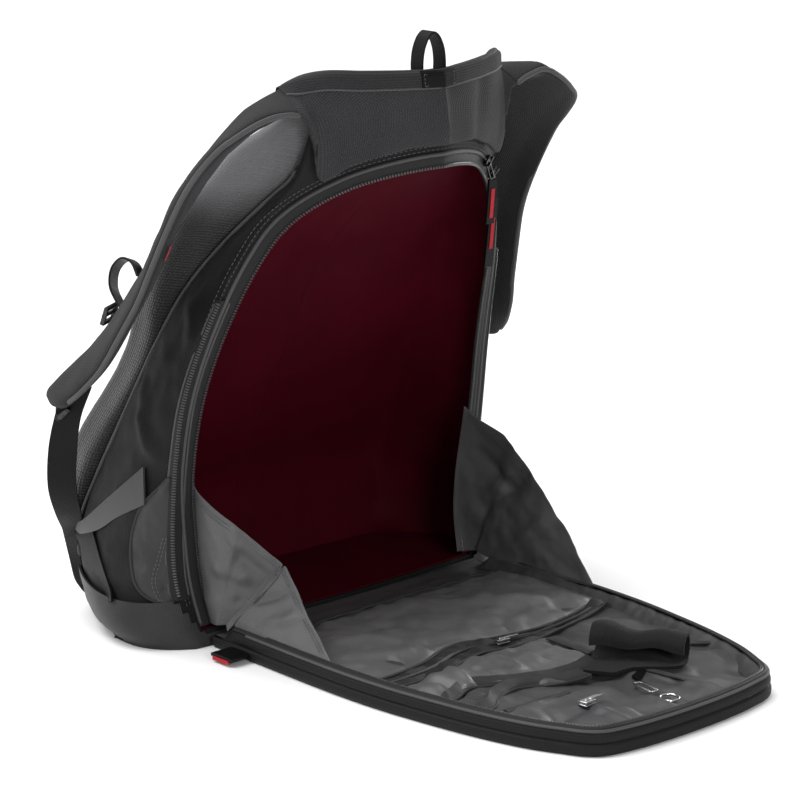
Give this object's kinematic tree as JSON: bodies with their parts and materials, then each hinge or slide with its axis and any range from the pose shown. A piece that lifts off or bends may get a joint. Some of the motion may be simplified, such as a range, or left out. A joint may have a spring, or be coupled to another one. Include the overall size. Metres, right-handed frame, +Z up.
{
  "type": "motorcycle backpack",
  "caption": "Black motorcycle backpack standing open, its arched front panel unzipped and folded down onto the floor, with padded shoulder straps and an organiser inside the panel.",
  "frame": {"origin": "middle of the whole part's base, on the floor", "axes": "+Z up, -Y from the back pad towards the opening and the folded-down front panel, +X to the right as seen from the front"},
  "size_m": [0.4738, 0.5712, 0.5053],
  "materials": {
    "ballistic_nylon": "matt black woven nylon",
    "base_fabric": "matt dark grey coated fabric",
    "lining_fabric": "dark red woven lining",
    "air_mesh": "grey spacer mesh",
    "yoke_weave": "dense dark grey weave",
    "binding": "satin binding over cord",
    "zip_tape": "woven tape with coil teeth",
    "webbing": "black satin webbing",
    "soft_nylon": "grey satin nylon",
    "black_plastic": "black acetal",
    "zip_metal": "dark lacquered zinc",
    "silver_metal": "bright nickel",
    "red_tab": "red woven tab"
  },
  "bodies": {
    "root": {"body_shell": "ballistic_nylon", "body_lining": "lining_fabric", "base_panel": "base_fabric", "back_pad": "air_mesh", "yoke": "yoke_weave", "neckline_binding": "binding", "armhole_piping_right": "binding", "armhole_piping_left": "binding", "shoulder_strap_right": "yoke_weave", "shoulder_strap_left": "yoke_weave", "main_zip_body": "zip_tape", "expansion_zip_right": "zip_tape", "expansion_zip_left": "zip_tape", "haul_loop": "webbing", "main_slider_upper": "zip_metal", "pull_tab_upper": "webbing", "main_slider_lower": "zip_metal", "pull_tab_lower": "webbing", "strap_webbing_right": "webbing", "strap_webbing_left": "webbing", "ladder_lock_right": "black_plastic", "ladder_lock_left": "black_plastic", "wing_tab_right": "soft_nylon", "wing_tab_left": "soft_nylon", "lower_webbing_right": "webbing", "lower_webbing_left": "webbing", "webbing_tail_right": "webbing", "webbing_tail_left": "webbing", "sternum_loop_right": "webbing", "sternum_loop_left": "webbing", "sternum_buckle_right": "black_plastic", "sternum_buckle_left": "black_plastic", "flap_shell": "ballistic_nylon", "main_zip_flap": "zip_tape", "flap_lining": "soft_nylon", "gusset_left": "soft_nylon", "gusset_right": "soft_nylon", "hinge_tab": "red_tab", "zip_pocket": "soft_nylon", "pocket_zip": "zip_tape", "pocket_slider": "silver_metal", "middle_pocket": "soft_nylon", "far_pocket": "soft_nylon", "rolled_strap": "webbing", "key_strap": "webbing", "key_clip": "silver_metal", "key_ring": "silver_metal", "short_zip": "zip_tape", "short_zip_slider": "silver_metal"}
  },
  "joints": []
}
